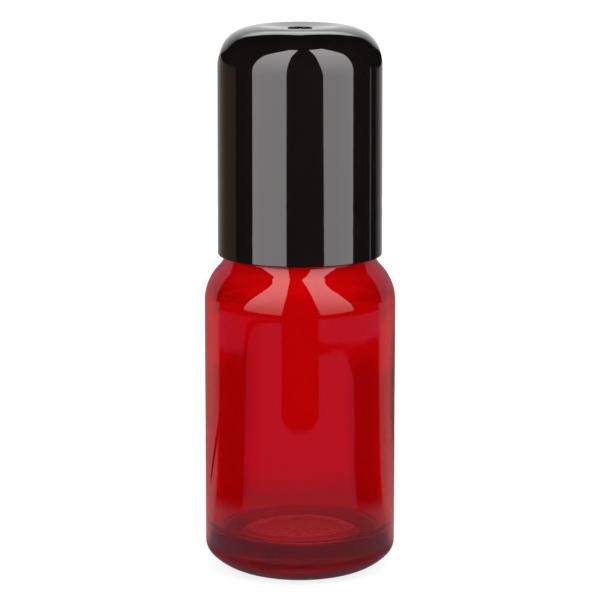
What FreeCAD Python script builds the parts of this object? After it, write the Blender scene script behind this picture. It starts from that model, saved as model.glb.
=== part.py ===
"""A 10 ml roll-on bottle: glass bottle, ball housing, roller ball, sealing liner and screw cap.

Every piece is turned about the Z axis, which stands on the middle of the base with +Z up.
Lengths are millimetres and angles are degrees.
"""

import FreeCAD
import Part
import math
import os

# Glass bottle, outside
BODY_RADIUS = 12.5
BODY_HEIGHT = 35.8
HEEL_CORNER_RADIUS = 2.2
BASE_CURVE_RADIUS = 7.5
HEEL_BLEND_ANGLE = 45.0
BASE_CURVE_END_ANGLE = 80.0
BEARING_WIDTH = 1.4
PUSH_UP_RISE = 0.7
SHOULDER_RADIUS = 6.45
COLLAR_FILLET_RADIUS = 3.2
COLLAR_RADIUS = 9.7
COLLAR_LAND = 0.1
COLLAR_ROUND = 0.5
NECK_RADIUS = 7.7
NECK_FOOT_ROUND = 0.6
BOTTLE_HEIGHT = 58.0
LIP_OUTER_ROUND = 0.7
LIP_INNER_ROUND = 0.4

# Glass bottle, inside
GLASS_WALL = 2.0
BASE_THICKNESS = 5.6
FLOOR_RISE = 0.5
INNER_HEEL_RADIUS = 1.0
BORE_RADIUS = 5.45
BORE_FLARE_RADIUS = 1.5

# Right-hand thread on the neck, placed by its upper end below the lip
THREAD_PITCH = 3.0
THREAD_TURNS = 2.5
THREAD_DROP = 3.0
THREAD_HEIGHT = 1.05
THREAD_ROOT_WIDTH = 1.9
THREAD_CREST_WIDTH = 0.8
THREAD_UPPER_END_ANGLE = 220.0

# How both threads are rooted in their wall and fade out at their ends
THREAD_EMBED = 0.5
THREAD_SINK = 0.12
THREAD_FADE_ANGLE = 50.0
THREAD_SECTIONS_PER_TURN = 16

# Ball housing, pressed into the neck
PLUG_LENGTH = 10.0
PLUG_FIT = 0.03
PLUG_GROOVE_DEPTH = 0.3
SEAL_RING_COUNT = 3
SEAL_RING_WIDTH = 1.0
SEAL_RING_SPACING = 2.6
PLUG_LEAD_IN = 0.9
FEED_RADIUS = 3.4
FEED_MOUTH_ROUND = 0.5
FLANGE_RADIUS = 7.3
FLANGE_THICKNESS = 1.3
FLANGE_ROUND = 0.4
SOCKET_FOOT_RADIUS = 6.9
SOCKET_RIM_RADIUS = 6.35
SOCKET_RIM_RISE = 2.3
SOCKET_RIM_ROUND = 0.35
SOCKET_CLEARANCE = 0.08

# Roller ball
BALL_RADIUS = 5.55
BALL_CENTRE_RISE = 4.7

# Sealing liner, a soft disc in the crown of the cap
LINER_RADIUS = 6.0
LINER_THICKNESS = 1.0
LINER_EDGE_ROUND = 0.2
LINER_BALL_GAP = 0.1
LINER_RING_CLEARANCE = 0.12

# Screw cap
CAP_WALL = 1.55
CAP_DRAFT = 0.07
CAP_BORE_CLEARANCE = 0.45
CAP_SIDE_CORNER_RADIUS = 7.0
CAP_MIDDLE_CORNER_RADIUS = 4.0
CAP_TOP_CORNER_RADIUS = 7.1
CAP_SIDE_BLEND_ANGLE = 20.5
CAP_TOP_BLEND_ANGLE = 63.0
CAP_INNER_CORNER_RADIUS = 2.0
CROWN_THICKNESS = 2.4
CROWN_RING_WIDTH = 0.75
CROWN_RING_OVERHANG = 0.5
CROWN_RING_ROUND = 0.15
SKIRT_COLLAR_CLEARANCE = 0.25
SKIRT_GAP = 0.58
SKIRT_EDGE_ROUND = 0.2
SKIRT_RECESS_CLEARANCE = 0.3
SKIRT_LEAD_IN = 0.5
DISH_RADIUS = 5.0
DISH_DEPTH = 0.3
GATE_WELL_RADIUS = 1.6
GATE_WELL_DEPTH = 1.2
GATE_WELL_RIM_ROUND = 0.05
GATE_NUB_RADIUS = 0.3
GATE_NUB_TIP_RADIUS = 0.12
GATE_NUB_HEIGHT = 1.1

# Thread inside the cap
CAP_THREAD_TURNS = 1.5
CAP_THREAD_RISE = 3.0
CAP_THREAD_ROOT_WIDTH = 1.5
CAP_THREAD_CREST_WIDTH = 0.6
CAP_THREAD_ROOT_GAP = 0.5
FLANK_CLEARANCE = 0.12

AXIS_START = FreeCAD.Vector(0, 0, 0)
AXIS = FreeCAD.Vector(0, 0, 1)
QUARTER_TURN = 90.0
FULL_TURN = 360.0


def around(centre, radius, angle):
    """The point of a circle at an angle, counted up from the direction away from the axis."""
    turn = math.radians(angle)
    return centre[0] + radius * math.cos(turn), centre[1] + radius * math.sin(turn)


def line(*stops):
    """The straight edges of an outline through points given as radius and height."""
    points = [FreeCAD.Vector(radius, 0, z) for radius, z in stops]
    return [Part.LineSegment(start, end).toShape() for start, end in zip(points, points[1:])]


def arc(centre, radius, first_angle, last_angle):
    """One round edge of an outline, about a centre, from one angle to another."""
    stops = [around(centre, radius, angle) for angle in (first_angle, (first_angle + last_angle) / 2, last_angle)]
    return [Part.Arc(*(FreeCAD.Vector(across, 0, z) for across, z in stops)).toShape()]


def dome(edge_radius, edge_z, rise, from_axis):
    """A shallow round edge between a point off the axis and the axis, where it is a rise higher."""
    radius = (edge_radius**2 + rise**2) / (2 * rise)
    centre = (0, edge_z + rise - radius)
    edge_angle = math.degrees(math.atan2(edge_z - centre[1], edge_radius))
    if from_axis:
        return arc(centre, radius, QUARTER_TURN, edge_angle)
    return arc(centre, radius, edge_angle, QUARTER_TURN)


def corner_centres(radii, blend_angles, wall_radius, end_z, end_side):
    """Centres of the tangent arcs that round a side wall into an end face, which faces end_side.

    The arcs follow each other from the wall to the face, and each blend angle is where two of them meet.
    """
    steps = list(zip(radii, radii[1:], [math.radians(angle) for angle in blend_angles]))
    across = wall_radius - radii[0]
    up = end_z - end_side * radii[-1]
    for radius, next_radius, turn in steps:
        up -= end_side * (radius - next_radius) * math.sin(turn)
    centres = [(across, up)]
    for radius, next_radius, turn in steps:
        across += (radius - next_radius) * math.cos(turn)
        up += end_side * (radius - next_radius) * math.sin(turn)
        centres.append((across, up))
    return centres


def throat(big_radius, small_radius, wall_radius):
    """Centre of the hollow curve that leads from the shoulder up into a wall, and the angle where they meet."""
    across = wall_radius + small_radius - shoulder_centre[0]
    up = math.sqrt((big_radius + small_radius)**2 - across**2)
    return (wall_radius + small_radius, BODY_HEIGHT + up), math.degrees(math.atan2(up, across))


def turned(*stretches):
    """The solid of a closed outline turned about the axis. Straight edges close the gaps between stretches."""
    edges = []
    for stretch in (*stretches, stretches[0]):
        if edges:
            last = edges[-1].valueAt(edges[-1].LastParameter)
            first = stretch[0].valueAt(stretch[0].FirstParameter)
            if last.distanceToPoint(first) > Part.Precision.confusion():
                edges.append(Part.LineSegment(last, first).toShape())
        edges.extend(stretch)
    loop = edges[:len(edges) - len(stretches[0])]
    return Part.Face(Part.Wire(loop)).revolve(AXIS_START, AXIS, FULL_TURN)


def ridge(wall_radius, crest_radius, root_width, crest_width, low_z, low_angle, turns):
    """A thread ridge that climbs its turns from a low end and fades into its wall at both ends."""
    outward = math.copysign(1, crest_radius - wall_radius)
    root_radius = wall_radius - outward * THREAD_EMBED
    hidden_radius = wall_radius - outward * THREAD_SINK
    fade_share = THREAD_FADE_ANGLE / (turns * FULL_TURN)
    count = round(turns * THREAD_SECTIONS_PER_TURN)
    sections = []
    for index in range(count + 1):
        share = index / count
        rise = min(1, share / fade_share, (1 - share) / fade_share)
        crest = hidden_radius + (crest_radius - hidden_radius) * rise
        z = low_z + share * turns * THREAD_PITCH
        angle = math.radians(low_angle + share * turns * FULL_TURN)
        corners = (
            (root_radius, z - root_width / 2),
            (crest, z - crest_width / 2),
            (crest, z + crest_width / 2),
            (root_radius, z + root_width / 2),
        )
        points = [FreeCAD.Vector(r * math.cos(angle), r * math.sin(angle), level) for r, level in corners]
        sections.append(Part.makePolygon([*points, points[0]]))
    return Part.makeLoft(sections, True, False)


def thread_half_widths(radius):
    """Half the widths of the neck's thread and of the cap's thread at one radius, added together."""
    neck_share = (radius - NECK_RADIUS) / THREAD_HEIGHT
    cap_share = (cap_bore_radius - radius) / (cap_bore_radius - cap_thread_crest_radius)
    neck_width = THREAD_ROOT_WIDTH + (THREAD_CREST_WIDTH - THREAD_ROOT_WIDTH) * neck_share
    cap_width = CAP_THREAD_ROOT_WIDTH + (CAP_THREAD_CREST_WIDTH - CAP_THREAD_ROOT_WIDTH) * cap_share
    return (neck_width + cap_width) / 2


# Levels and radii that several pieces share
inner_radius = BODY_RADIUS - GLASS_WALL
shoulder_centre = (BODY_RADIUS - SHOULDER_RADIUS, BODY_HEIGHT)
collar_centre, collar_angle = throat(SHOULDER_RADIUS, COLLAR_FILLET_RADIUS, COLLAR_RADIUS)
collar_z = collar_centre[1] + COLLAR_LAND + COLLAR_ROUND
lip_z = BOTTLE_HEIGHT
ball_z = lip_z + BALL_CENTRE_RISE
liner_z = ball_z + BALL_RADIUS + LINER_BALL_GAP
crown_z = liner_z + LINER_THICKNESS
cap_top_z = crown_z + CROWN_THICKNESS
thread_crest_radius = NECK_RADIUS + THREAD_HEIGHT
cap_bore_radius = thread_crest_radius + CAP_BORE_CLEARANCE
cap_radius = cap_bore_radius + CAP_WALL

# The skirt goes round the collar and ends a gap above the hollow under it
skirt_inner_radius = COLLAR_RADIUS + SKIRT_COLLAR_CLEARANCE
hollow_depth = math.sqrt(COLLAR_FILLET_RADIUS**2 - (collar_centre[0] - skirt_inner_radius)**2)
skirt_z = collar_centre[1] - hollow_depth + SKIRT_GAP
recess_z = collar_z + SKIRT_RECESS_CLEARANCE

# Both threads lie on one helix, the cap's lower by what leaves the named clearance between the flanks
cap_thread_crest_radius = NECK_RADIUS + CAP_THREAD_ROOT_GAP
thread_low_z = lip_z - THREAD_DROP - THREAD_TURNS * THREAD_PITCH
thread_low_angle = THREAD_UPPER_END_ANGLE - THREAD_TURNS * FULL_TURN
flank_drop = FLANK_CLEARANCE + max(
    thread_half_widths(thread_crest_radius), thread_half_widths(cap_thread_crest_radius)
)
cap_thread_low_z = skirt_z + CAP_THREAD_RISE
cap_thread_lead = (cap_thread_low_z + flank_drop - thread_low_z) / THREAD_PITCH
cap_thread_low_angle = thread_low_angle + cap_thread_lead * FULL_TURN


def make_glass_bottle():
    """Bottle with a rounded heel, a dished base, a round shoulder, a collar and a threaded neck."""
    base_z = BASE_CURVE_RADIUS * (math.sin(math.radians(BASE_CURVE_END_ANGLE)) - 1)
    heel_centre, base_centre = corner_centres(
        (HEEL_CORNER_RADIUS, BASE_CURVE_RADIUS), (HEEL_BLEND_ANGLE,), BODY_RADIUS, base_z, -1
    )
    bearing_outer = around(base_centre, BASE_CURVE_RADIUS, -BASE_CURVE_END_ANGLE)[0]
    bearing_inner = bearing_outer - BEARING_WIDTH
    inner_shoulder = SHOULDER_RADIUS - GLASS_WALL
    flare_centre, flare_angle = throat(inner_shoulder, BORE_FLARE_RADIUS, BORE_RADIUS)
    half_turn = 2 * QUARTER_TURN
    inner_heel_centre = (inner_radius - INNER_HEEL_RADIUS, BASE_THICKNESS + INNER_HEEL_RADIUS)
    body = turned(
        dome(bearing_inner, 0, PUSH_UP_RISE, True),
        arc(base_centre, BASE_CURVE_RADIUS, -BASE_CURVE_END_ANGLE, -HEEL_BLEND_ANGLE),
        arc(heel_centre, HEEL_CORNER_RADIUS, -HEEL_BLEND_ANGLE, 0),
        arc(shoulder_centre, SHOULDER_RADIUS, 0, collar_angle),
        arc(collar_centre, COLLAR_FILLET_RADIUS, half_turn + collar_angle, half_turn),
        arc((COLLAR_RADIUS - COLLAR_ROUND, collar_z - COLLAR_ROUND), COLLAR_ROUND, 0, QUARTER_TURN),
        arc(
            (NECK_RADIUS + NECK_FOOT_ROUND, collar_z + NECK_FOOT_ROUND),
            NECK_FOOT_ROUND,
            half_turn + QUARTER_TURN,
            half_turn,
        ),
        arc((NECK_RADIUS - LIP_OUTER_ROUND, lip_z - LIP_OUTER_ROUND), LIP_OUTER_ROUND, 0, QUARTER_TURN),
        arc(
            (BORE_RADIUS + LIP_INNER_ROUND, lip_z - LIP_INNER_ROUND), LIP_INNER_ROUND, QUARTER_TURN, half_turn
        ),
        arc(flare_centre, BORE_FLARE_RADIUS, half_turn, half_turn + flare_angle),
        arc(shoulder_centre, inner_shoulder, flare_angle, 0),
        arc(inner_heel_centre, INNER_HEEL_RADIUS, 0, -QUARTER_TURN),
        dome(inner_heel_centre[0], BASE_THICKNESS, FLOOR_RISE, False),
    )
    thread = ridge(
        NECK_RADIUS,
        thread_crest_radius,
        THREAD_ROOT_WIDTH,
        THREAD_CREST_WIDTH,
        thread_low_z,
        thread_low_angle,
        THREAD_TURNS,
    )
    return body.fuse(thread).removeSplitter()


def make_ball_housing():
    """Plug with sealing rings, a flange that rests on the lip and a socket that snaps over the ball."""
    plug_radius = BORE_RADIUS - PLUG_FIT
    groove_radius = plug_radius - PLUG_GROOVE_DEPTH
    plug_z = lip_z - PLUG_LENGTH
    flange_z = lip_z + FLANGE_THICKNESS
    rim_z = ball_z + SOCKET_RIM_RISE
    socket_radius = BALL_RADIUS + SOCKET_CLEARANCE
    socket_centre = (0, ball_z)
    rim_angle = math.degrees(math.asin(SOCKET_RIM_RISE / socket_radius))
    seat_angle = math.degrees(math.acos(FEED_RADIUS / socket_radius))
    plug_stops = [(FEED_RADIUS + FEED_MOUTH_ROUND, plug_z), (groove_radius - PLUG_GROOVE_DEPTH, plug_z)]
    plug_stops.append((groove_radius, plug_z + PLUG_LEAD_IN))
    for index in range(SEAL_RING_COUNT):
        ring_z = lip_z - SEAL_RING_SPACING * (SEAL_RING_COUNT - index) + SEAL_RING_WIDTH / 2
        plug_stops.append((groove_radius, ring_z - SEAL_RING_WIDTH / 2))
        plug_stops.append((plug_radius, ring_z))
        plug_stops.append((groove_radius, ring_z + SEAL_RING_WIDTH / 2))
    plug_stops.append((groove_radius, lip_z))
    plug_stops.append((FLANGE_RADIUS, lip_z))
    return turned(
        line(*plug_stops),
        arc((FLANGE_RADIUS - FLANGE_ROUND, flange_z - FLANGE_ROUND), FLANGE_ROUND, 0, QUARTER_TURN),
        line((SOCKET_FOOT_RADIUS, flange_z), (SOCKET_RIM_RADIUS, rim_z - SOCKET_RIM_ROUND)),
        arc((SOCKET_RIM_RADIUS - SOCKET_RIM_ROUND, rim_z - SOCKET_RIM_ROUND), SOCKET_RIM_ROUND, 0, QUARTER_TURN),
        arc(socket_centre, socket_radius, rim_angle, -seat_angle),
        line((FEED_RADIUS, plug_z + FEED_MOUTH_ROUND), (FEED_RADIUS + FEED_MOUTH_ROUND, plug_z)),
    )


def make_roller_ball():
    """Solid ball, held just off its socket."""
    return Part.makeSphere(BALL_RADIUS, FreeCAD.Vector(0, 0, ball_z))


def make_sealing_liner():
    """Flat disc with softened edges, against the underside of the crown."""
    round_radius = LINER_RADIUS - LINER_EDGE_ROUND
    return turned(
        line((0, liner_z), (round_radius, liner_z)),
        arc((round_radius, liner_z + LINER_EDGE_ROUND), LINER_EDGE_ROUND, -QUARTER_TURN, 0),
        arc((round_radius, crown_z - LINER_EDGE_ROUND), LINER_EDGE_ROUND, 0, QUARTER_TURN),
        line((round_radius, crown_z), (0, crown_z)),
    )


def make_screw_cap():
    """Tall round-topped cap with a dished top, a gate well, a crown ring, a thread and a recessed skirt."""
    ring_inner = LINER_RADIUS + LINER_RING_CLEARANCE
    ring_outer = ring_inner + CROWN_RING_WIDTH
    ring_z = liner_z - CROWN_RING_OVERHANG
    top_radius = cap_radius - CAP_DRAFT
    corner_radii = (CAP_SIDE_CORNER_RADIUS, CAP_MIDDLE_CORNER_RADIUS, CAP_TOP_CORNER_RADIUS)
    blend_angles = (CAP_SIDE_BLEND_ANGLE, CAP_TOP_BLEND_ANGLE)
    side_centre, middle_centre, top_centre = corner_centres(corner_radii, blend_angles, top_radius, cap_top_z, 1)
    dish_z = cap_top_z - DISH_DEPTH
    well_z = dish_z - GATE_WELL_DEPTH
    rim_centre = (GATE_WELL_RADIUS + GATE_WELL_RIM_ROUND, dish_z - GATE_WELL_RIM_ROUND)
    half_turn = 2 * QUARTER_TURN
    shell = turned(
        line((skirt_inner_radius, skirt_z), (cap_radius - SKIRT_EDGE_ROUND, skirt_z)),
        arc((cap_radius - SKIRT_EDGE_ROUND, skirt_z + SKIRT_EDGE_ROUND), SKIRT_EDGE_ROUND, -QUARTER_TURN, 0),
        arc(side_centre, CAP_SIDE_CORNER_RADIUS, 0, CAP_SIDE_BLEND_ANGLE),
        arc(middle_centre, CAP_MIDDLE_CORNER_RADIUS, CAP_SIDE_BLEND_ANGLE, CAP_TOP_BLEND_ANGLE),
        arc(top_centre, CAP_TOP_CORNER_RADIUS, CAP_TOP_BLEND_ANGLE, QUARTER_TURN),
        line((DISH_RADIUS, cap_top_z), (rim_centre[0], dish_z)),
        arc(rim_centre, GATE_WELL_RIM_ROUND, QUARTER_TURN, half_turn),
        line((GATE_WELL_RADIUS, well_z), (0, well_z)),
        line((0, crown_z), (ring_inner, crown_z), (ring_inner, ring_z + CROWN_RING_ROUND)),
        arc(
            (ring_inner + CROWN_RING_ROUND, ring_z + CROWN_RING_ROUND),
            CROWN_RING_ROUND,
            half_turn,
            half_turn + QUARTER_TURN,
        ),
        arc((ring_outer - CROWN_RING_ROUND, ring_z + CROWN_RING_ROUND), CROWN_RING_ROUND, -QUARTER_TURN, 0),
        line((ring_outer, crown_z), (cap_bore_radius - CAP_INNER_CORNER_RADIUS, crown_z)),
        arc(
            (cap_bore_radius - CAP_INNER_CORNER_RADIUS, crown_z - CAP_INNER_CORNER_RADIUS),
            CAP_INNER_CORNER_RADIUS,
            QUARTER_TURN,
            0,
        ),
        line((cap_bore_radius, recess_z + SKIRT_LEAD_IN), (skirt_inner_radius, recess_z)),
    )
    nub_foot = FreeCAD.Vector(0, 0, well_z)
    nub = Part.makeCone(GATE_NUB_RADIUS, GATE_NUB_TIP_RADIUS, GATE_NUB_HEIGHT, nub_foot, AXIS)
    thread = ridge(
        cap_bore_radius,
        cap_thread_crest_radius,
        CAP_THREAD_ROOT_WIDTH,
        CAP_THREAD_CREST_WIDTH,
        cap_thread_low_z,
        cap_thread_low_angle,
        CAP_THREAD_TURNS,
    )
    return shell.fuse([nub, thread]).removeSplitter()


PIECES = {
    "glass_bottle": make_glass_bottle,
    "ball_housing": make_ball_housing,
    "roller_ball": make_roller_ball,
    "sealing_liner": make_sealing_liner,
    "screw_cap": make_screw_cap,
}

os.makedirs("parts", exist_ok=True)
for name, make in PIECES.items():
    shape = make()
    shape.exportStep(f"parts/{name}.step")
    box = shape.BoundBox
    print(
        name,
        "valid" if shape.isValid() else "NOT VALID",
        len(shape.Solids),
        "solid",
        len(shape.Faces),
        "faces",
        round(shape.Volume, 2),
        [round(v, 3) for v in (box.XMin, box.XMax, box.YMin, box.YMax, box.ZMin, box.ZMax)],
    )
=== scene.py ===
"""The looks of a 10 ml roll-on bottle: red lacquered glass, a black screw cap, and a roller ball under it.

The pieces' sizes are millimetres until a mesh is made of them.
Materials, lights, the floor and the camera count in metres.
"""

import math

import bpy
import numpy as np
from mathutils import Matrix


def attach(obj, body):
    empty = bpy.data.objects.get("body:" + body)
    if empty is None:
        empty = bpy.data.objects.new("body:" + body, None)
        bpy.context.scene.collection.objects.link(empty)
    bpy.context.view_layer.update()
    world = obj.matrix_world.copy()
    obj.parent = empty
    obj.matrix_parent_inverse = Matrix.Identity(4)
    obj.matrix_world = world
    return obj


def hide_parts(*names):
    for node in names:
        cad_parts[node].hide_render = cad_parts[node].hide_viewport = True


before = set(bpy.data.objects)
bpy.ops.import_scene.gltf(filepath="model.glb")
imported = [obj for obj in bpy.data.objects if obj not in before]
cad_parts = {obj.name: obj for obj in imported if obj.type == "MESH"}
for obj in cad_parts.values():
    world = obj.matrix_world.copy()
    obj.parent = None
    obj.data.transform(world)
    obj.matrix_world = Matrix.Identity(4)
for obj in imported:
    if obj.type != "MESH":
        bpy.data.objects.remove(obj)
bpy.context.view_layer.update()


# Glass bottle: moulded clear glass with a thick base, sprayed on its outside with a clear red lacquer.
# The inside stays bare, and so does the dished underside, which has the mould's stipple. The neck has a
# right-hand thread for the cap.


def run(start, end, count):
    """Points of a straight stretch: start + t * (end - start), without the end point."""
    share = np.linspace(0, 1, count, endpoint=False)[:, None]
    return np.array(start) + share * (np.array(end) - np.array(start))


def bend(centre, radius, first_angle, last_angle, count):
    """Points of an arc: centre + radius * (cos a, sin a), without the last point.

    The angles are degrees, counted up from outward.
    """
    angle = np.radians(np.linspace(first_angle, last_angle, count, endpoint=False))
    return np.array(centre) + radius * np.stack([np.cos(angle), np.sin(angle)], 1)


def dome_run(edge_radius, edge_z, rise, count):
    """Points of a shallow dome from near the axis out to its edge, which lies a rise lower than its middle.

    It is part of a sphere of radius s = (e^2 + rise^2) / (2 rise): z = edge + rise - s + sqrt(s^2 - r^2).
    """
    sphere = (edge_radius**2 + rise**2) / (2 * rise)
    across = np.linspace(0, edge_radius, count + 1)[1:]
    up = edge_z + rise - sphere + np.sqrt(sphere**2 - across**2)
    return np.stack([across, up], 1)


def spun(profile, count):
    """Radius, height and angle on a grid: each point of a profile carried round the axis in even steps."""
    angle = np.linspace(0, 2 * np.pi, count, endpoint=False)[None, :] + np.zeros((len(profile), 1))
    return profile[:, :1] + np.zeros_like(angle), profile[:, 1:2] + np.zeros_like(angle), angle


def lathe(name, radius, height, angle, closed_profile=False):
    """The surface (r cos a, r sin a, z), with r and z on a grid of profile rows and angles, as a mesh.

    A closed profile joins its last row to its first. An open one ends in a point on the axis at both ends.
    """
    rows, columns = radius.shape
    points = np.stack([radius * np.cos(angle), radius * np.sin(angle), height], 2).reshape(-1, 3) / 1000
    row = np.arange(rows if closed_profile else rows - 1)[:, None]
    column = np.arange(columns)[None, :]
    next_column = (column + 1) % columns
    here = row * columns + column
    right = row * columns + next_column
    above = ((row + 1) % rows) * columns + column
    above_right = ((row + 1) % rows) * columns + next_column
    faces = np.stack([here, right, above_right, above], 2).reshape(-1, 4).tolist()
    if not closed_profile:
        low, high = len(points), len(points) + 1
        ends = [[0, 0, height[0].mean() / 1000], [0, 0, height[-1].mean() / 1000]]
        points = np.concatenate([points, ends])
        first = np.arange(columns)
        last = first + (rows - 1) * columns
        beside = next_column[0]
        faces += np.stack([np.full(columns, low), first[beside], first], 1).tolist()
        faces += np.stack([np.full(columns, high), last, last[beside]], 1).tolist()
    mesh = bpy.data.meshes.new(name)
    mesh.from_pydata(points.tolist(), [], faces)
    mesh.polygons.foreach_set("use_smooth", np.ones(len(mesh.polygons), bool))
    sharpest_smooth_edge = math.radians(40)
    mesh.set_sharp_from_angle(angle=sharpest_smooth_edge)
    mesh.update()
    piece = bpy.data.objects.new(name, mesh)
    bpy.context.scene.collection.objects.link(piece)
    return piece


body_radius = 12.5
body_top = 35.8
shoulder_radius = 6.45
shoulder_centre = np.array([body_radius - shoulder_radius, body_top])


def throat(big_radius, small_radius, wall_radius):
    """Centre of the hollow curve tangent to the shoulder's arc and a wall, and the angle where they meet.

    The two centres lie both radii apart, so the rise between them is sqrt((big + small)^2 - across^2).
    """
    across = wall_radius + small_radius - shoulder_centre[0]
    up = math.sqrt((big_radius + small_radius) ** 2 - across**2)
    return np.array([wall_radius + small_radius, body_top + up]), math.degrees(math.atan2(up, across))


heel_corner = 2.2
heel_angle = 45
base_curve = 7.5
bearing_angle = 80
bearing_width = 1.4
push_up = 0.7
base_z = base_curve * (math.sin(math.radians(bearing_angle)) - 1)
heel_side = (base_curve - heel_corner) * math.cos(math.radians(heel_angle))
heel_drop = (base_curve - heel_corner) * math.sin(math.radians(heel_angle))
base_centre = np.array([body_radius - heel_corner - heel_side, base_z + base_curve])
heel_centre = np.array([body_radius - heel_corner, base_centre[1] - heel_drop])
bearing = base_centre[0] + base_curve * math.cos(math.radians(bearing_angle))

collar_radius = 9.7
collar_hollow = 3.2
collar_height = 0.6
collar_round = 0.5
collar_centre, collar_angle = throat(shoulder_radius, collar_hollow, collar_radius)
collar_z = collar_centre[1] + collar_height
neck_radius = 7.7
neck_foot = 0.6
lip_z = 58.0
lip_round = 0.7

glass_wall = 2.0
bore_radius = 5.45
bore_round = 0.4
flare_radius = 1.5
inner_shoulder = shoulder_radius - glass_wall
flare_centre, flare_angle = throat(inner_shoulder, flare_radius, bore_radius)
inner_radius = body_radius - glass_wall
inner_heel = 1.0
floor_z = 5.6
floor_rise = 0.5

outer_profile = np.concatenate(
    [
        dome_run(bearing - bearing_width, 0, push_up, 10),
        run((bearing - bearing_width, 0), (bearing, 0), 3)[1:],
        bend(base_centre, base_curve, -bearing_angle, -heel_angle, 14),
        bend(heel_centre, heel_corner, -heel_angle, 0, 12),
        run((body_radius, heel_centre[1]), (body_radius, body_top), 36),
        bend(shoulder_centre, shoulder_radius, 0, collar_angle, 26),
        bend(collar_centre, collar_hollow, 180 + collar_angle, 180, 24),
        run((collar_radius, collar_centre[1]), (collar_radius, collar_z - collar_round), 2),
        bend((collar_radius - collar_round, collar_z - collar_round), collar_round, 0, 90, 6),
        run((collar_radius - collar_round, collar_z), (neck_radius + neck_foot, collar_z), 3),
        bend((neck_radius + neck_foot, collar_z + neck_foot), neck_foot, 270, 180, 6),
        run((neck_radius, collar_z + neck_foot), (neck_radius, lip_z - lip_round), 72),
        bend((neck_radius - lip_round, lip_z - lip_round), lip_round, 0, 90, 6),
    ]
)
inner_profile = np.concatenate(
    [
        run((neck_radius - lip_round, lip_z), (bore_radius + bore_round, lip_z), 3),
        bend((bore_radius + bore_round, lip_z - bore_round), bore_round, 90, 180, 4),
        run((bore_radius, lip_z - bore_round), (bore_radius, flare_centre[1]), 12),
        bend(flare_centre, flare_radius, 180, 180 + flare_angle, 10),
        bend(shoulder_centre, inner_shoulder, flare_angle, 0, 18),
        run((inner_radius, body_top), (inner_radius, floor_z + inner_heel), 30),
        bend((inner_radius - inner_heel, floor_z + inner_heel), inner_heel, 0, -90, 14),
        dome_run(inner_radius - inner_heel, floor_z, floor_rise, 9)[::-1],
    ]
)
glass_profile = np.concatenate([outer_profile, inner_profile])
glass_row = np.arange(len(glass_profile))
radius, height, angle = spun(glass_profile, 256)

thread_pitch = 3.0
thread_turns = 2.5
thread_drop = 3.0
thread_height = 1.05
thread_root = 1.9
thread_rounded_crest = 0.6
thread_fade = 50 / 360
thread_top_angle = 220
thread_low = lip_z - thread_drop - thread_turns * thread_pitch
thread_angle = math.radians(thread_top_angle - thread_turns * 360)


def thread(angle, height, low_z, low_angle, turns, root_width, crest_width, fade):
    """Share of a thread ridge's full height at an angle and height.

    The ridge's middle climbs the pitch each turn. Across it the share falls from 1 at the crest to 0 at the
    root by a smooth step, and it fades out over a part of a turn at both ends.
    """
    climb = (height - low_z) / thread_pitch
    turn = np.round(climb - (angle - low_angle) / (2 * np.pi))
    along = (angle - low_angle) / (2 * np.pi) + turn
    off = np.abs(height - low_z - along * thread_pitch)
    flank = np.clip((root_width / 2 - off) / (root_width / 2 - crest_width / 2), 0, 1)
    ends = np.clip(np.minimum(along, turns - along) / fade, 0, 1)
    return flank**2 * (3 - 2 * flank) * ends


neck_slack = 0.1
thread_floor = collar_z + 0.5
ridge = thread(
    angle, height, thread_low, thread_angle, thread_turns, thread_root, thread_rounded_crest, thread_fade
)
on_neck = (glass_profile[:, 0] > neck_radius - neck_slack) & (glass_profile[:, 1] > thread_floor)
on_neck &= glass_row < len(outer_profile)
radius += np.where(on_neck[:, None], thread_height * ridge, 0)

# The inside isn't quite round: two slow waves run around it, drift with height and fade towards the axis.
lip_and_bore_rows = 20
oval = 0.05 * np.sin(2 * angle + 0.12 * height + 0.6)
three_lobed = 0.03 * np.sin(3 * angle - 0.2 * height + 2.0)
off_axis = np.clip((radius - 2) / 6, 0, 1)
inside = (glass_row > len(outer_profile) + lip_and_bore_rows)[:, None]
radius += np.where(inside, (oval + three_lobed) * off_axis, 0)
glass = lathe("lacquered_glass", radius, height, angle)


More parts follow.
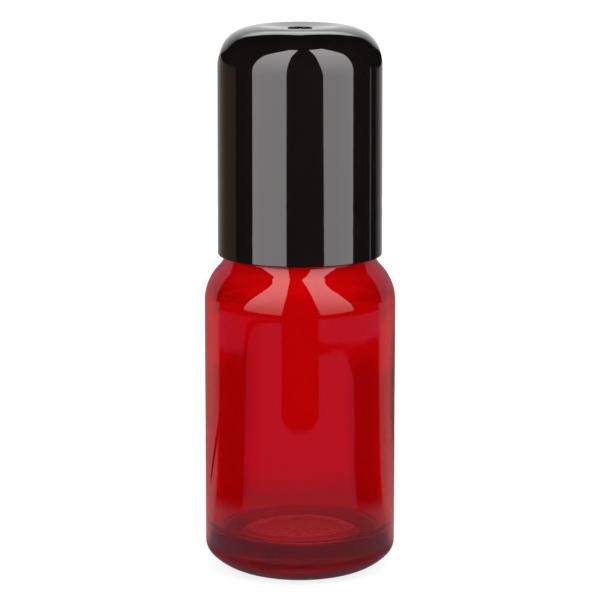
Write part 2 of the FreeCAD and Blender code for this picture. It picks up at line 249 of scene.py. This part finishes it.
class Wire:
    """One output of a material's node tree. Arithmetic on wires adds Math nodes to the tree."""

    def __init__(self, tree, socket=None):
        self.tree = tree
        self.socket = socket

    def node(self, kind, settings=None, inputs=None, output=0):
        """Adds a node, its settings first, then the values or wires of its inputs, and gives an output."""
        made = self.tree.nodes.new(kind)
        for key, value in (settings or {}).items():
            setattr(made, key, value)
        for key, value in (inputs or {}).items():
            if isinstance(value, Wire):
                self.tree.links.new(value.socket, made.inputs[key])
            else:
                made.inputs[key].default_value = value
        return Wire(self.tree, made.outputs[output] if len(made.outputs) else None)

    def other(self, name):
        """Another output of the node that this wire comes from."""
        return Wire(self.tree, self.socket.node.outputs[name])

    def math(self, operation, *values):
        """A Math node's operation on values or wires."""
        return self.node("ShaderNodeMath", {"operation": operation}, dict(enumerate(values)))

    def step(self, low, high):
        """Rises smoothly from 0 at low to 1 at high."""
        limits = {"Value": self, "From Min": low, "From Max": high}
        return self.node("ShaderNodeMapRange", {"interpolation_type": "SMOOTHSTEP"}, limits)

    def step_degrees(self, low, high):
        """The same rise of a wire in radians, between limits in degrees."""
        return self.step(math.radians(low), math.radians(high))

    def blend(self, first, second):
        """A colour between two, by this wire as the share of the second."""
        inputs = {"Factor": self, 6: first, 7: second}
        return self.node("ShaderNodeMix", {"data_type": "RGBA"}, inputs, 2)

    def mix(self, first, second):
        """A shader between two, by this wire as the share of the second."""
        return self.node("ShaderNodeMixShader", {}, {0: self, 1: first, 2: second})

    def place(self):
        """Where a point lies on the piece, in its own coordinates."""
        return self.node("ShaderNodeTexCoord", {}, {}, "Object")

    def noise(self, where, scale, detail=2.0, stretch=(1, 1, 1)):
        """Noise from 0 to 1, with its grain counted per metre and pressed by a stretch along X, Y and Z."""
        placed = self.node("ShaderNodeMapping", {}, {"Vector": where, "Scale": stretch})
        return self.node("ShaderNodeTexNoise", {}, {"Vector": placed, "Scale": scale, "Detail": detail})

    def bump(self, height, strength, distance):
        """A normal that tilts with a height, at a strength and over a distance in metres."""
        inputs = {"Height": height, "Strength": strength, "Distance": distance}
        return self.node("ShaderNodeBump", {}, inputs)

    def principled(self, inputs):
        """The Principled shader with these inputs."""
        return self.node("ShaderNodeBsdfPrincipled", {}, inputs)

    def emission(self, colour):
        """A surface that glows in a colour."""
        return self.node("ShaderNodeEmission", {}, {"Color": colour, "Strength": 1.0})

    def __add__(self, other):
        return self.math("ADD", self, other)

    def __radd__(self, other):
        return self.math("ADD", other, self)

    def __sub__(self, other):
        return self.math("SUBTRACT", self, other)

    def __rsub__(self, other):
        return self.math("SUBTRACT", other, self)

    def __mul__(self, other):
        return self.math("MULTIPLY", self, other)

    def __rmul__(self, other):
        return self.math("MULTIPLY", other, self)


def material(name):
    """A new material with an empty node tree, and the wire that starts it."""
    made = bpy.data.materials.new(name)
    made.use_nodes = True
    made.node_tree.nodes.clear()
    return made, Wire(made.node_tree)


def surface(start, shader):
    """Joins a shader to its material's output."""
    start.node("ShaderNodeOutputMaterial", {}, {"Surface": shader})


glass_ior = 1.5


def clear_glass(start, colour, roughness, normal):
    """Glass that all light goes through, tinted by a colour."""
    return start.principled(
        {
            "Base Color": colour,
            "Roughness": roughness,
            "IOR": glass_ior,
            "Transmission Weight": 1.0,
            "Normal": normal,
        }
    )


red_lacquer, start = material("red_lacquered_glass")
where = start.place()
cloudy = start.noise(where, 90, 2, (1, 1, 0.35))
thin_red = cloudy.blend((0.53, 0.0005, 0.0011, 1), (0.58, 0.0008, 0.0016, 1))
peel = start.noise(where, 420, 1)
wave = start.noise(where, 70, 1, (1, 1, 0.3))
skin = start.bump(peel * 0.1 + wave, 0.1, 0.0004)
clear_coat = clear_glass(start, thin_red, 0.0, skin)
# The lacquer is thicker in blotches at the heel and on the shoulder, where less light gets through. At the
# heel and the sole its colour is also nearly black, which is painted shade of the thick base.
level = start.node("ShaderNodeSeparateXYZ", {}, {"Vector": where}, "Z")
at_heel = 1 - level.step(0.0015, 0.0045)
at_sole = 1 - level.step(0.0006, 0.0024)
at_shoulder = level.step(0.0365, 0.041) * (1 - level.step(0.0436, 0.045))
blotch = start.noise(where, 170, 2, (1, 1, 1.6)).step(0.3, 0.7)
# Painted shade: the heel's colour is a near-black maroon, darker than thick lacquer alone would be.
dense_red_and_heel_shade = at_heel.blend((0.36, 0.0008, 0.0012, 1), (0.06, 0.007, 0.011, 1))
dense_coat_and_heel_shade = start.principled({"Base Color": dense_red_and_heel_shade, "Roughness": 0.0, "IOR": glass_ior, "Normal": skin})
build_up = 0.15 + at_heel * (0.34 + 0.3 * blotch) + 0.2 * at_sole + 0.7 * at_shoulder
surface(start, build_up.mix(clear_coat, dense_coat_and_heel_shade))

bare_glass, start = material("bare_glass")
where = start.place()
ripple = start.bump(start.noise(where, 110, 1, (1, 1, 0.4)), 0.2, 0.0005)
clear = start.noise(where, 200, 2).blend((0.93, 0.95, 0.94, 1), (0.97, 0.98, 0.975, 1))
surface(start, clear_glass(start, clear, 0.0, ripple))

stippled_glass, start = material("stippled_glass")
where = start.place()
pits = start.noise(where, 1400, 2).step(0.35, 0.65)
pitted = start.bump(pits, 0.2, 0.0002)
surface(start, clear_glass(start, (0.93, 0.95, 0.94, 1), 0.3 + 0.15 * pits, pitted))

for finish in (red_lacquer, bare_glass, stippled_glass):
    glass.data.materials.append(finish)
middles = np.empty(len(glass.data.polygons) * 3)
normals = np.empty(len(glass.data.polygons) * 3)
glass.data.polygons.foreach_get("center", middles)
glass.data.polygons.foreach_get("normal", normals)
middles = middles.reshape(-1, 3) * 1000
normals = normals.reshape(-1, 3)
inner_wall_from = 2.5
underside_to = 1
outward = np.sum(normals[:, :2] * middles[:, :2], 1)
over_base = np.hypot(middles[:, 0], middles[:, 1]) < bearing
inner_wall = (outward < 0) & (middles[:, 2] > inner_wall_from)
inner_floor = over_base & (middles[:, 2] < floor_z + inner_heel)
underside = over_base & (middles[:, 2] < underside_to)
bare = inner_wall | inner_floor
glass.data.polygons.foreach_set("material_index", bare.astype(np.int32) + underside)
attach(glass, "bottle")
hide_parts("glass_bottle")


# Ball housing: natural polyethylene, moulded in one. Its ringed plug is pressed into the neck until the
# flange meets the lip, and its socket is snapped over the ball.
ball_z = lip_z + 4.7
ball_radius = 5.55
plug_z = lip_z - 10
plug_radius = bore_radius - 0.03
plug_taper = 0.3
plug_taper_height = 0.9
groove_radius = plug_radius - 0.3
ring_spacing = 2.6
ring_half_width = 0.5
flange_radius = 7.3
flange_side = 0.9
flange_round = 0.4
rim_radius = 6.35
rim_height = 2.3
rim_round = 0.35
feed_radius = 3.4
feed_chamfer = 0.5
socket_radius = ball_radius + 0.08
rim_angle = math.degrees(math.asin(rim_height / socket_radius))
seat_angle = math.degrees(math.acos(feed_radius / socket_radius))
rim_bore = socket_radius * math.cos(math.radians(rim_angle))
seat_z = ball_z - socket_radius * math.sin(math.radians(seat_angle))
stops = [
    (feed_radius + feed_chamfer, plug_z),
    (groove_radius - plug_taper, plug_z),
    (groove_radius, plug_z + plug_taper_height),
]
for ring in (3, 2, 1):
    ring_z = lip_z - ring_spacing * ring + ring_half_width
    stops.append((groove_radius, ring_z - ring_half_width))
    stops.append((plug_radius, ring_z))
    stops.append((groove_radius, ring_z + ring_half_width))
stops += [(groove_radius, lip_z), (flange_radius, lip_z)]
plug = np.concatenate([run(first, second, 3) for first, second in zip(stops, stops[1:])])
rim_side_z = ball_z + rim_height - rim_round
flange_top = (flange_radius - flange_round, lip_z + flange_side + flange_round)
housing_profile = np.concatenate(
    [
        plug,
        run((flange_radius, lip_z), (flange_radius, lip_z + flange_side), 4),
        bend((flange_radius - flange_round, lip_z + flange_side), flange_round, 0, 90, 8),
        run(flange_top, (rim_radius, rim_side_z), 16),
        bend((rim_radius - rim_round, rim_side_z), rim_round, 0, 90, 8),
        run((rim_radius - rim_round, ball_z + rim_height), (rim_bore, ball_z + rim_height), 3),
        bend((0, ball_z), socket_radius, rim_angle, -seat_angle, 30),
        run((feed_radius, seat_z), (feed_radius, plug_z + feed_chamfer), 12),
        run((feed_radius, plug_z + feed_chamfer), (feed_radius + feed_chamfer, plug_z), 2),
    ]
)
housing = lathe("ball_socket", *spun(housing_profile, 160), closed_profile=True)
natural_plastic, start = material("natural_polyethylene")
where = start.place()
milky = start.noise(where, 160, 3).blend((0.80, 0.81, 0.79, 1), (0.87, 0.88, 0.86, 1))
satin = 0.34 + 0.12 * start.noise(where, 500, 2)
grain = start.bump(start.noise(where, 2600, 2), 0.12, 0.0002)
polyethylene = start.principled(
    {
        "Base Color": milky,
        "Roughness": satin,
        "IOR": 1.51,
        "Subsurface Weight": 0.35,
        "Subsurface Radius": (1.0, 1.0, 1.0),
        "Subsurface Scale": 0.0015,
        "Normal": grain,
    }
)
surface(start, polyethylene)
housing.data.materials.append(natural_plastic)
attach(housing, "bottle")
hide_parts("ball_housing")


# Roller ball: stainless steel, ground and polished. It lies loose in the socket and carries the liquid out
# as it rolls, which leaves hairlines on it.
latitude = np.radians(np.linspace(-90, 90, 82)[1:-1])
ball_profile = np.stack([ball_radius * np.cos(latitude), ball_z + ball_radius * np.sin(latitude)], 1)
ball = lathe("steel_ball", *spun(ball_profile, 144))
polished_steel, start = material("polished_steel")
where = start.place()
hairlines = start.noise(where, 900, 4, (0.12, 1, 1)).step(0.45, 0.75)
smear = start.noise(where, 180, 3)
steel = start.principled(
    {
        "Base Color": smear.blend((0.60, 0.60, 0.59, 1), (0.68, 0.67, 0.66, 1)),
        "Metallic": 1.0,
        "Roughness": 0.06 + 0.05 * smear + 0.05 * hairlines,
        "Normal": start.bump(hairlines, 0.04, 0.0001),
    }
)
surface(start, steel)
ball.data.materials.append(polished_steel)
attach(ball, "ball")
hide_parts("roller_ball")


# Sealing liner: a disc punched from white closed-cell foam. It is held in the ring under the cap's crown,
# and closes on the ball when the cap is screwed down.
liner_radius = 6.0
liner_edge = 0.2
liner_z = ball_z + ball_radius + 0.1
crown_z = liner_z + 1.0
centre_disc = 0.6
flat_radius = liner_radius - liner_edge
liner_profile = np.concatenate(
    [
        run((centre_disc, liner_z), (flat_radius, liner_z), 12),
        bend((flat_radius, liner_z + liner_edge), liner_edge, -90, 0, 6),
        run((liner_radius, liner_z + liner_edge), (liner_radius, crown_z - liner_edge), 5),
        bend((flat_radius, crown_z - liner_edge), liner_edge, 0, 90, 6),
        run((flat_radius, crown_z), (centre_disc, crown_z), 10),
    ]
)
liner = lathe("foam_liner", *spun(liner_profile, 120))
white_foam, start = material("white_foam")
where = start.place()
cells = start.node("ShaderNodeTexVoronoi", {}, {"Vector": where, "Scale": 4200.0})
shade = start.noise(where, 300, 3)
foam = start.principled(
    {
        "Base Color": shade.blend((0.80, 0.80, 0.78, 1), (0.88, 0.88, 0.86, 1)),
        "Roughness": 0.62 + 0.2 * cells,
        "Normal": start.bump(cells, 0.3, 0.0002),
    }
)
surface(start, foam)
liner.data.materials.append(white_foam)
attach(liner, "seal")
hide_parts("sealing_liner")


# Screw cap: one glossy black moulding with a rounded top edge, a shallow dish and the gate's well in the
# middle. Its thread is inside its own wall, and the wall has sunk a little over it.


def heading(angle):
    """The direction (cos a, sin a) of an angle in degrees, counted up from outward."""
    return np.array([math.cos(math.radians(angle)), math.sin(math.radians(angle))])


cap_bore = 9.2
cap_radius = 10.75
cap_top_radius = 10.68
cap_top = crown_z + 2.4
skirt_inner = collar_radius + 0.25
skirt_gap = 0.58
skirt_edge = 0.2
skirt_lead_in = 0.5
hollow_z = collar_centre[1] - math.sqrt(collar_hollow**2 - (collar_centre[0] - skirt_inner) ** 2)
skirt_z = hollow_z + skirt_gap
recess_z = collar_z + 0.3
side_corner = 7.0
middle_corner = 4.0
top_corner = 7.1
side_blend = 20.5
top_blend = 63.0
to_middle = (side_corner - middle_corner) * heading(side_blend)
to_top = (middle_corner - top_corner) * heading(top_blend)
side_centre = np.array([cap_top_radius - side_corner, cap_top - top_corner - to_middle[1] - to_top[1]])
middle_centre = side_centre + to_middle
top_centre = middle_centre + to_top
dish_radius = 5.0
dish_z = cap_top - 0.3
well_radius = 1.6
well_round = 0.05
well_z = dish_z - 1.2
nub_foot = 0.3
nub_tip = 0.12
nub_middle = 0.04
nub_z = well_z + 1.1
outer_cap = np.concatenate(
    [
        run((skirt_inner, skirt_z), (cap_radius - skirt_edge, skirt_z), 4),
        bend((cap_radius - skirt_edge, skirt_z + skirt_edge), skirt_edge, -90, 0, 8),
        run((cap_radius, skirt_z + skirt_edge), (cap_top_radius, side_centre[1]), 90),
        bend(side_centre, side_corner, 0, side_blend, 16),
        bend(middle_centre, middle_corner, side_blend, top_blend, 22),
        bend(top_centre, top_corner, top_blend, 90, 16),
        run((top_centre[0], cap_top), (dish_radius, cap_top), 3),
        run((dish_radius, cap_top), (well_radius + well_round, dish_z), 12),
        bend((well_radius + well_round, dish_z - well_round), well_round, 90, 180, 6),
        run((well_radius, dish_z - well_round), (well_radius, well_z), 5),
        run((well_radius, well_z), (nub_foot, well_z), 4),
        run((nub_foot, well_z), (nub_tip, nub_z), 4),
        run((nub_tip, nub_z), (nub_middle, nub_z), 2),
    ]
)
ring_inner = 6.12
ring_outer = 6.87
ring_round = 0.15
ring_foot_z = liner_z - 0.5
crown_corner = 2.0
thread_room_z = skirt_z + 9.5
inner_cap = np.concatenate(
    [
        run((centre_disc, crown_z), (ring_inner, crown_z), 8),
        run((ring_inner, crown_z), (ring_inner, ring_foot_z + ring_round), 4),
        bend((ring_inner + ring_round, ring_foot_z + ring_round), ring_round, 180, 270, 4),
        run((ring_inner + ring_round, ring_foot_z), (ring_outer - ring_round, ring_foot_z), 2),
        bend((ring_outer - ring_round, ring_foot_z + ring_round), ring_round, -90, 0, 4),
        run((ring_outer, ring_foot_z + ring_round), (ring_outer, crown_z), 4),
        run((ring_outer, crown_z), (cap_bore - crown_corner, crown_z), 2),
        bend((cap_bore - crown_corner, crown_z - crown_corner), crown_corner, 90, 0, 10),
        run((cap_bore, crown_z - crown_corner), (cap_bore, thread_room_z), 14),
        run((cap_bore, thread_room_z), (cap_bore, recess_z + skirt_lead_in), 60),
        run((cap_bore, recess_z + skirt_lead_in), (skirt_inner, recess_z), 2),
        run((skirt_inner, recess_z), (skirt_inner, skirt_z), 3),
    ]
)
cap_profile = np.concatenate([inner_cap, outer_cap])
radius, height, angle = spun(cap_profile, 224)

# Both threads lie on one helix, with a gap between their flanks at the closer of the two crests.
cap_thread_turns = 1.5
cap_thread_height = 1.0
cap_thread_root = 1.5
cap_thread_crest = 0.6
cap_thread_rounded_crest = 0.5
neck_thread_crest = 0.8
flank_gap = 0.12
neck_crest_gap = cap_bore - neck_radius - thread_height
cap_crest_gap = cap_bore - neck_radius - cap_thread_height
cap_taper = (cap_thread_root - cap_thread_crest) / cap_thread_height
neck_taper = (thread_root - neck_thread_crest) / thread_height
cap_width_there = cap_thread_root - cap_taper * neck_crest_gap
neck_width_there = thread_root - neck_taper * cap_crest_gap
half_widths = max(neck_thread_crest + cap_width_there, neck_width_there + cap_thread_crest) / 2
cap_thread_low = skirt_z + 3.0
lead = (cap_thread_low + half_widths + flank_gap - thread_low) / thread_pitch
cap_thread_angle = thread_angle + lead * 2 * np.pi
cap_helix = (cap_thread_low, cap_thread_angle, cap_thread_turns)
cap_ridge = thread(angle, height, *cap_helix, cap_thread_root, cap_thread_rounded_crest, thread_fade)
bore_slack = 0.01
bore_rows = (np.abs(cap_profile[:, 0] - cap_bore) < bore_slack)[:, None] & (height < thread_room_z + 0.1)
radius -= np.where(bore_rows, cap_thread_height * cap_ridge, 0)
sink_depth = 0.012
sink_width = 2.8
sink_fade = 30 / 360
skirt_rows = 12
wall_from = 10.6
sunk = thread(angle, height, *cap_helix, sink_width, 0.0, sink_fade)
wall_rows = (np.arange(len(cap_profile)) >= len(inner_cap) + skirt_rows)[:, None] & (radius > wall_from)
radius -= np.where(wall_rows, sink_depth * sunk, 0)
cap = lathe("black_cap", radius, height, angle)
black_plastic, start = material("glossy_black_plastic")
where = start.place()
flow = start.noise(where, 140, 3, (1, 1, 0.4))
hairlines = start.noise(where, 1500, 3, (1, 1, 0.06)).step(0.55, 0.8)
plastic = start.principled(
    {
        "Base Color": flow.blend((0.0026, 0.0018, 0.0018, 1), (0.0034, 0.0024, 0.0024, 1)),
        "Roughness": 0.035 + 0.02 * flow + 0.02 * hairlines,
        "IOR": 1.54,
        "Normal": start.bump(start.noise(where, 95, 1, (1, 1, 0.4)), 0.06, 0.0004),
    }
)
surface(start, plastic)
cap.data.materials.append(black_plastic)
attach(cap, "cap")
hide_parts("screw_cap")


# Floor: a plain white table for the camera. Clear glass shows it white, with a painted dim shadow of the
# bottle. Gloss shows a painted reflection of the studio: a dim fan of light in front with a dark middle,
# dark stripes beside the fan, and a paler back.
table_half = 0.9
table_drop = 0.00002
corners = [(-1, -1), (1, -1), (1, 1), (-1, 1)]
table = bpy.data.meshes.new("floor")
table.from_pydata([(table_half * x, table_half * y, -table_drop) for x, y in corners], [], [[0, 1, 2, 3]])
floor = bpy.data.objects.new("floor", table)
bpy.context.scene.collection.objects.link(floor)
white_table, start = material("white_table")
camera_ray = start.node("ShaderNodeLightPath", {}, {}, "Is Camera Ray")
glossy_ray = camera_ray.other("Is Glossy Ray")
through_ray = camera_ray.other("Is Transmission Ray")
# Where a point lies: its distance from the bottle, its angle from the front and the back, and its side.
where = start.place()
side = start.node("ShaderNodeSeparateXYZ", {}, {"Vector": where}, "X")
depth = side.other("Y")
distance = start.math("SQRT", side * side + depth * depth)
swing = start.math("ARCTAN2", side, depth * -1)
wide = start.math("ABSOLUTE", swing)
off_back = math.pi - wide
right = side.step(-0.01, 0.01)
# In gloss, painted reflections: the fan with its rounded far corners, the lit shelf beyond them, the apron
# by the bottle.
wander = (start.noise(where, 18, 1) - 0.5) * (0.03 + 0.2 * right)
fan_reach = distance * (5.26 + 0.86 * right) + 0.4 * wander
corner = start.math("POWER", wide * 0.87 + wander, 8) + start.math("POWER", fan_reach, 8)
fan = 1 - corner.step(0.85, 1.1)
shelf = corner.step(1.4 - 0.2 * right, 1.8 - 0.3 * right) * (distance - 0.011 * right).step(0.15, 0.16)
shelf = shelf * (1 - distance.step(0.2, 0.206))
before = 1 - wide.step_degrees(56, 66)
apron = 1 - (distance + 0.006 * wide).step(0.05, 0.062 + 0.02 * before)
bowl = distance - 0.5 * wide * wide * wide * wide
middle = (1 - wide.step_degrees(20.5, 22.5)) * bowl.step(0.097, 0.103)
front_glow = start.math("MAXIMUM", start.math("MAXIMUM", fan, shelf), apron) * (1 - middle)
fan_colour = swing.step_degrees(-55, -35).blend((0.10, 0.10, 0.23, 1), (0.14, 0.15, 0.35, 1))
front_colour = apron.blend(fan_colour, (0.30, 0.31, 0.40, 1))
# Also in gloss: the pale back in painted red light, as if cast through the red glass, with a thin dark line
# across its left side, and a painted shadow at the foot of the bottle.
line = start.math("ABSOLUTE", off_back - 0.477 - 8 * distance) - 0.45 * distance
line = (1 - line.step(0.006, 0.024)) * (1 - right) * distance.step(0.05, 0.057)
back_glow = (1 - (off_back - 0.07 * right).step_degrees(65, 72)) * (1 - line)
# Painted red light on the floor behind the bottle, as if cast through its red glass.
painted_red_light_low = right.blend((0.46, 0.20, 0.19, 1), (0.27, 0.15, 0.13, 1))
back_painted_red_light = off_back.step_degrees(28, 58).blend(painted_red_light_low, (0.80, 0.35, 0.37, 1))
# Painted shadow: the floor's gloss colour darkens close around the bottle's foot.
painted_foot_shadow = 1 - distance.step(0.013, 0.026)
gloss_colour = front_glow.blend((0.004, 0.004, 0.004, 1), front_colour)
gloss_colour = back_glow.blend(gloss_colour, back_painted_red_light)
gloss_colour = painted_foot_shadow.blend(gloss_colour, (0.10, 0.10, 0.12, 1))
# Through glass: two dim wings behind the bottle with a lit band across them, and a painted shadow close to
# it.
near = 0.08 * (1 - distance.step(0.04, 0.095))
wing = (off_back - near).step_degrees(8, 13) * (1 - off_back.step_degrees(48, 62))
lit_band = distance.step(0.13, 0.15) * (1 - distance.step(0.19, 0.2))
# Painted shadow: seen through glass, the floor is darker close to the bottle.
painted_near_shadow = 1 - distance.step(0.036, 0.053)
glass_colour = (wing * (1 - lit_band)).blend((1, 1, 1, 1), (0.62, 0.62, 0.62, 1))
glass_colour = painted_near_shadow.blend(glass_colour, (0.58, 0.56, 0.58, 1))
# For the camera: white paper that keeps the object's shadow, a little less bright around its foot.
lit = start.node("ShaderNodeBsdfDiffuse", {}, {"Color": (0.8, 0.8, 0.8, 1)})
paper = start.node("ShaderNodeBsdfDiffuse", {}, {"Color": (0.25, 0.25, 0.25, 1)})
white = start.emission(distance.step(0.04, 0.2).blend((0.8, 0.8, 0.8, 1), (1, 1, 1, 1)))
seen = start.node("ShaderNodeAddShader", {}, {0: paper, 1: white})
shown = camera_ray.mix(lit, seen)
shown = glossy_ray.mix(shown, start.emission(gloss_colour))
shown = through_ray.mix(shown, start.emission(glass_colour))
surface(start, shown)
floor.data.materials.append(white_table)


# Soft boxes and cards: lit sheets around the object, which the camera can't see. The photograph's cap and
# glass stand in different light, so each has sheets of its own, and the floor doesn't shine on the cap.


def diffuser(name, points, glow, receivers):
    """A lit curved sheet through a grid of points in metres, with a glow colour at each point."""
    rows, columns = points.shape[:2]
    row = np.arange(rows - 1)[:, None]
    column = np.arange(columns - 1)[None, :]
    here = row * columns + column
    quads = np.stack([here, here + 1, here + columns + 1, here + columns], 2).reshape(-1, 4)
    mesh = bpy.data.meshes.new(name)
    mesh.from_pydata(points.reshape(-1, 3).tolist(), [], quads.tolist())
    mesh.polygons.foreach_set("use_smooth", np.ones(len(mesh.polygons), bool))
    shades = np.ones((rows * columns, 4))
    shades[:, :3] = (glow + np.zeros_like(points)).reshape(-1, 3)
    mesh.color_attributes.new("glow", "FLOAT_COLOR", "POINT").data.foreach_set("color", shades.ravel())
    card = bpy.data.objects.new(name, mesh)
    bpy.context.scene.collection.objects.link(card)
    lamp, start = material(name + "_glow")
    shine = start.emission(start.node("ShaderNodeAttribute", {"attribute_name": "glow"}, {}, "Color"))
    open_air = start.node("ShaderNodeBsdfTransparent")
    surface(start, start.node("ShaderNodeAddShader", {}, {0: shine, 1: open_air}))
    card.data.materials.append(lamp)
    card.visible_camera = False
    card.visible_transmission = False
    card.light_linking.receiver_collection = receivers


sheet_distance = 0.24


def facing(azimuth, lean, centre):
    """Points at one distance from a centre: centre + distance (cos l sin a, -cos l cos a, sin l).

    The azimuth a is counted from the front to the right, and the lean l up from level, both in degrees.
    """
    azimuth, lean = np.broadcast_arrays(np.radians(azimuth), np.radians(lean))
    direction = np.stack([np.cos(lean) * np.sin(azimuth), -np.cos(lean) * np.cos(azimuth), np.sin(lean)], 2)
    return np.array(centre) + sheet_distance * direction


def foot_of(points):
    """A sheet with its low edge carried on inward along the floor: edge * t, for t from 1/3 to 1."""
    inward = np.linspace(1 / 3, 1, 12, endpoint=False)[:, None, None]
    reached = np.concatenate([points[0] * inward * np.array([1, 1, 0]), points])
    reached[..., 2] = np.maximum(reached[..., 2], 0.0004)
    return reached


def swell(points, low_glow, high_glow, tint):
    """A tinted glow that goes from the floor to the top of a sheet, by the smooth step 3 t^2 - 2 t^3."""
    up = np.clip(points[..., 2] / points[..., 2].max(), 0, 1)
    share = up**2 * (3 - 2 * up)
    return (low_glow + (high_glow - low_glow) * share)[..., None] * np.array(tint)


def lit_group(name, pieces):
    """A collection of the pieces that a light reaches."""
    group = bpy.data.collections.new(name)
    for piece in pieces:
        group.objects.link(piece)
    return group


cap_lit = lit_group("lit_by_cap_sheets", (cap, floor))
inside_lit = lit_group("lit_by_dome", (housing, ball, liner))
glass_lit = lit_group("lit_by_glass_sheets", (glass,))
floor.light_linking.receiver_collection = lit_group("lit_by_floor", (glass, housing, ball, liner))

# Each sheet is a grid: rise goes from its low edge up, and share from one side to the other.
rise = np.linspace(0, 1, 40)[:, None]
share = np.linspace(0, 1, 30)[None, :]
cap_middle = (0, -0.009, 0.066)
glass_middle = (0, 0, 0.0385)

# Two boxes in front of the cap, which narrow towards their tops, and dim cards and a strip low behind it.
box_lean = -16 + 75 * rise
rounded = np.clip(box_lean / 59, 0, 1) ** 2
for name, outer, inner, glow in (
    ("left_cap_box", -70 + 47.5 * rounded, -19 + 14.5 * rise**2.4, 3.6),
    ("right_cap_box", 79.5 - 30 * rounded, 34.5 - 14.5 * rise, 3.4),
):
    points = foot_of(facing(outer + share * (inner - outer), box_lean, cap_middle))
    diffuser(name, points, swell(points, glow, 6.5, (1, 0.97, 0.97)), cap_lit)
left_turn = 101 + 71 * share
left_gain = np.clip((left_turn - 128) / 44, 0, 1)[..., None] ** 1.2
left_glow = np.array([0.19, 0.125, 0.075]) + left_gain * np.array([0.6, 0.5, 0.5])
points = foot_of(facing(-left_turn, -15.5 + 16.5 * rise, cap_middle))
diffuser("left_cap_card", points, left_glow, cap_lit)
right_turn = 131 + 41 * share
right_gain = np.clip((right_turn - 134) / 38, 0, 1)[..., None] ** 1.2
right_glow = np.array([0.13, 0.12, 0.125]) + right_gain * 0.8
points = foot_of(facing(right_turn, -15.5 + 11.5 * rise, cap_middle))
diffuser("right_cap_card", points, right_glow, cap_lit)
points = foot_of(facing(114 + 3 * share, -15.5 + 14.5 * rise, cap_middle))
diffuser("right_cap_strip", points, np.array(0.48), cap_lit)

# A card behind the cap, widest 15 degrees up, whose upper part is the brightest.
back_lean = -7 + 57 * rise
back_width = 1 - np.where(back_lean > 15, (back_lean - 15) / 35, (15 - back_lean) / 22) ** 2
spread = 2 * share - 1
overhead = np.clip((back_lean - 28) / 7, 0, 1)
back_bright = (1 + 2.1 * overhead) * (1 - 0.75 * spread**4)
points = facing(180 - back_width * (40 - 4 * spread) * spread, back_lean, cap_middle)
diffuser("cap_back_card", points, back_bright[..., None], cap_lit)

# Two boxes that arch over the glass from the front, level across, and two cards behind it.
arch_lean = np.radians(-7 + 97 * rise)
arch_radius = 0.2
arch_middle = np.array([0, -0.01, 0.0385])
down = 1 - arch_lean / (np.pi / 2)
for name, outer, inner in (
    ("left_glass_box", -0.43 - 2.47 * np.cos(arch_lean) ** 3, -0.12 - 0.28 * down),
    ("right_glass_box", 0.39 + 1.97 * np.cos(arch_lean) ** 3, -0.04 + 0.48 * down),
):
    across = outer + share * (inner - outer)
    arch = arch_lean + np.zeros_like(across)
    points = arch_middle + arch_radius * np.stack([across, -np.cos(arch), np.sin(arch)], 2)
    diffuser(name, points, swell(points, 1.1, 3.8, (1.22, 0.97, 0.95)), glass_lit)
for name, hand, first in (("left_glass_card", -1, 118), ("right_glass_card", 1, 113)):
    near_edge = first + 16 * rise**3
    card_turn = near_edge + share * (168 - near_edge)
    fading = (1 - 0.6 * share**2)[..., None] + np.zeros_like(card_turn)[..., None]
    points = facing(hand * card_turn, -2 + 35 * rise, glass_middle)
    diffuser(name, points, fading * np.array([0.34, 0.31, 0.40]), glass_lit)

# A dome for the pieces under the cap, brighter towards its left and its top, with a soft spot half way up.
dome_rise = rise[::2]
dome_turn = 360 * share
dome_lean = 4 + 84 * dome_rise
to_left = 0.5 + 0.5 * np.cos(np.radians(dome_turn + 55))
spot = np.exp(-(((dome_lean - 48) / 14) ** 2)) * to_left**6
dome_glow = (0.28 + 0.75 * to_left**2) * (0.35 + 0.65 * dome_rise) + 0.9 * spot
points = facing(dome_turn, dome_lean, (0, 0, 0.0627))
diffuser("dome_over_ball", points, dome_glow[..., None], inside_lit)


# Room: the white studio around the table. The camera sees it white, and clear glass a third dimmer, with
# two dim wings at the back. Gloss sees it almost black, and it gives a little light all round.
world = bpy.data.worlds.new("studio")
bpy.context.scene.world = world
world.use_nodes = True
world.node_tree.nodes.clear()
start = Wire(world.node_tree)
camera_ray = start.node("ShaderNodeLightPath", {}, {}, "Is Camera Ray")
glossy_ray = camera_ray.other("Is Glossy Ray")
through_ray = camera_ray.other("Is Transmission Ray")
outlook = start.node("ShaderNodeTexCoord", {}, {}, "Generated")
side = start.node("ShaderNodeSeparateXYZ", {}, {"Vector": outlook}, "X")
depth = side.other("Y")
off_back = start.math("ABSOLUTE", start.math("ARCTAN2", side, depth))
wing = off_back.step_degrees(7, 12) * (1 - off_back.step_degrees(42, 52))
fill = 0.35
in_gloss = 0.005
in_glass = 0.655 - 0.4 * wing
# A ray through glass counts as a glossy ray too, so its brightness starts from the gloss's.
brightness = fill + glossy_ray * (in_gloss - fill) + through_ray * (in_glass - in_gloss)
brightness = brightness + camera_ray * (1 - brightness)
room_colour = brightness.blend((0, 0, 0, 1), (1, 1, 1, 1))
background = start.node("ShaderNodeBackground", {}, {"Color": room_colour, "Strength": 1.0})
start.node("ShaderNodeOutputWorld", {}, {"Surface": background})


# Camera: the photograph's view, fitted to the bottle's outline. It is a long lens 376 mm away that looks
# 10.85 degrees down on the middle of the bottle.
camera_distance = 0.376
camera_target_z = 0.03575
tilt = math.radians(10.85)
lens = bpy.data.cameras.new("camera")
lens.lens = 172.1
lens.sensor_width = 36
lens.clip_start = 0.01
camera = bpy.data.objects.new("camera", lens)
camera.location = (0, -camera_distance * math.cos(tilt), camera_target_z + camera_distance * math.sin(tilt))
camera.rotation_euler = (math.pi / 2 - tilt, 0, 0)
bpy.context.scene.collection.objects.link(camera)
bpy.context.scene.camera = camera
bpy.context.scene.view_settings.view_transform = "Standard"
